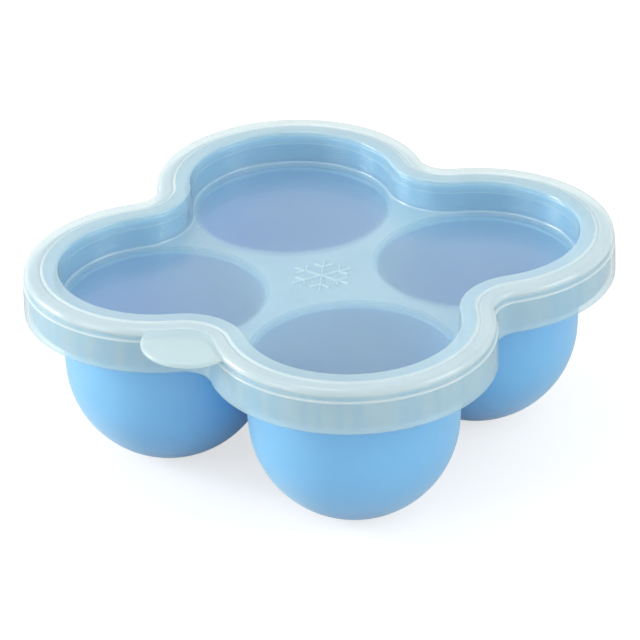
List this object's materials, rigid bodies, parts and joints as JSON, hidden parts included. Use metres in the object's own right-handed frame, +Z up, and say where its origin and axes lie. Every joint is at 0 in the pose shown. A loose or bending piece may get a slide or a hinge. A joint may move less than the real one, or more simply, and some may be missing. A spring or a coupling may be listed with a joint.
{
  "type": "baby food freezer tray",
  "caption": "Soft freezer tray with round-bottomed cups in a four-leaf outline, under a translucent lift-off lid with a sunk floor and a round thumb tab.",
  "frame": {"origin": "on the plane of the four feet, below the middle of the outline's box with the tab counted", "axes": "+Z up; the thumb tab points along -Y; the cups stand at the four diagonals"},
  "size_m": [0.1456, 0.1506, 0.0591],
  "materials": {
    "tray_silicone": "satin light blue silicone",
    "lid_translucent": "frosted translucent, faintly milky"
  },
  "bodies": {
    "tray_body": {"tray": "tray_silicone"},
    "lid_body": {"lid": "lid_translucent"}
  },
  "joints": [
    {"name": "lid_lift", "type": "slide", "parent": "tray_body", "child": "lid_body", "axis": [0, 0, 1], "range_m": [0, 0.06]}
  ]
}
